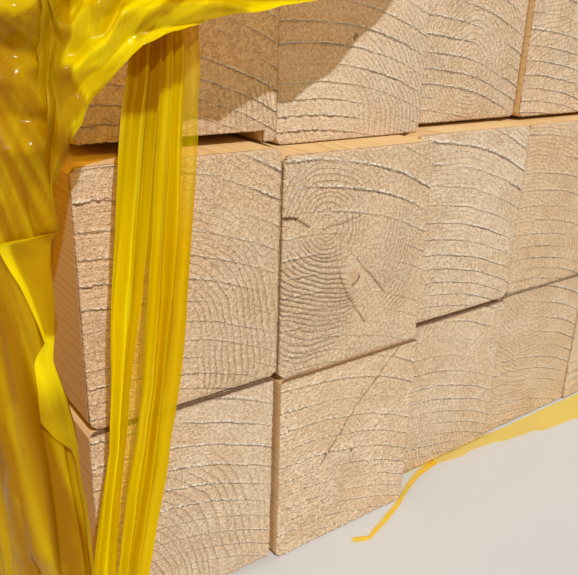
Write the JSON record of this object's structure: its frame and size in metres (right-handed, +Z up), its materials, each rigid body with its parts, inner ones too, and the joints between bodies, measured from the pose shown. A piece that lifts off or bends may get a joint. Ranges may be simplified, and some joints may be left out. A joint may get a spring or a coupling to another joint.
{
  "type": "bundle of pine studs",
  "caption": "Stacked bundle of square-section pine studs with staggered sawn ends, under a torn translucent yellow film hood with a hanging ribbon and a floor flap.",
  "frame": {"origin": "middle of the bundle's box at the bottom, on the floor under the lowest row", "axes": "+Y along the studs from the sawn ends in view towards the back, +Z up, +X to the right as the ends are looked at"},
  "size_m": [0.7894, 3.09, 0.5691],
  "materials": {
    "pine": "planed sides and rough-sawn ends, untreated",
    "film": "thin translucent film, glossy and creased"
  },
  "bodies": {
    "root": {"film_curtain": "film", "film_floor_flap": "film", "film_hood": "film", "film_ribbon": "film", "stud_bottom_1": "pine", "stud_bottom_2": "pine", "stud_bottom_3": "pine", "stud_bottom_4": "pine", "stud_bottom_5": "pine", "stud_bottom_6": "pine", "stud_second_1": "pine", "stud_second_2": "pine", "stud_second_3": "pine", "stud_second_4": "pine", "stud_second_5": "pine", "stud_second_6": "pine", "stud_third_1": "pine", "stud_third_2": "pine", "stud_third_3": "pine", "stud_third_4": "pine", "stud_third_5": "pine", "stud_third_6": "pine", "stud_top_1": "pine", "stud_top_2": "pine", "stud_top_3": "pine", "stud_top_4": "pine", "stud_top_5": "pine", "stud_top_6": "pine"}
  },
  "joints": []
}
